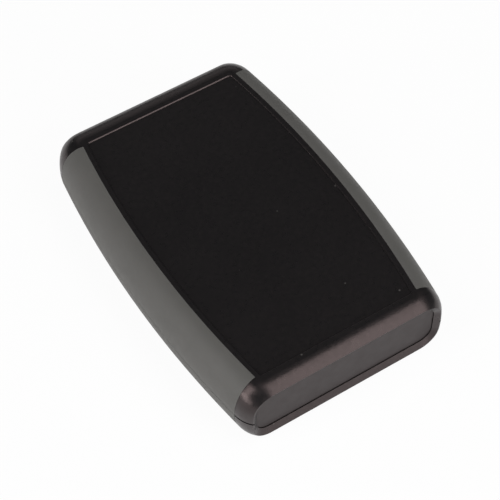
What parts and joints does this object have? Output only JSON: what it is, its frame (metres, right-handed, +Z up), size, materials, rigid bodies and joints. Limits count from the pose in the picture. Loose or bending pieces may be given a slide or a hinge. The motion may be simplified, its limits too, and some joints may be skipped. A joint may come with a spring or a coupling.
{
  "type": "hand-held electronics enclosure",
  "caption": "Barrel-sided hand-held plastic enclosure: two screwed shells with soft side grips, a shallow face seat and a flat panel in each end.",
  "frame": {"origin": "middle of the footprint, on the underside", "axes": "+Z up through the face seat, +Y along the case towards the rear end panel, +X across it"},
  "size_m": [0.0804, 0.115, 0.0245],
  "materials": {
    "shell_abs": "black, fine spark texture",
    "grip_elastomer": "grey, smooth matte",
    "panel_abs": "dark grey, smooth matte",
    "screw_steel": "zinc plated"
  },
  "bodies": {
    "root": {"top_shell": "shell_abs", "bottom_shell": "shell_abs", "grip_top_left": "grip_elastomer", "grip_top_right": "grip_elastomer", "grip_bottom_left": "grip_elastomer", "grip_bottom_right": "grip_elastomer", "end_panel_front": "panel_abs", "end_panel_rear": "panel_abs", "case_screws": "screw_steel"}
  },
  "joints": []
}
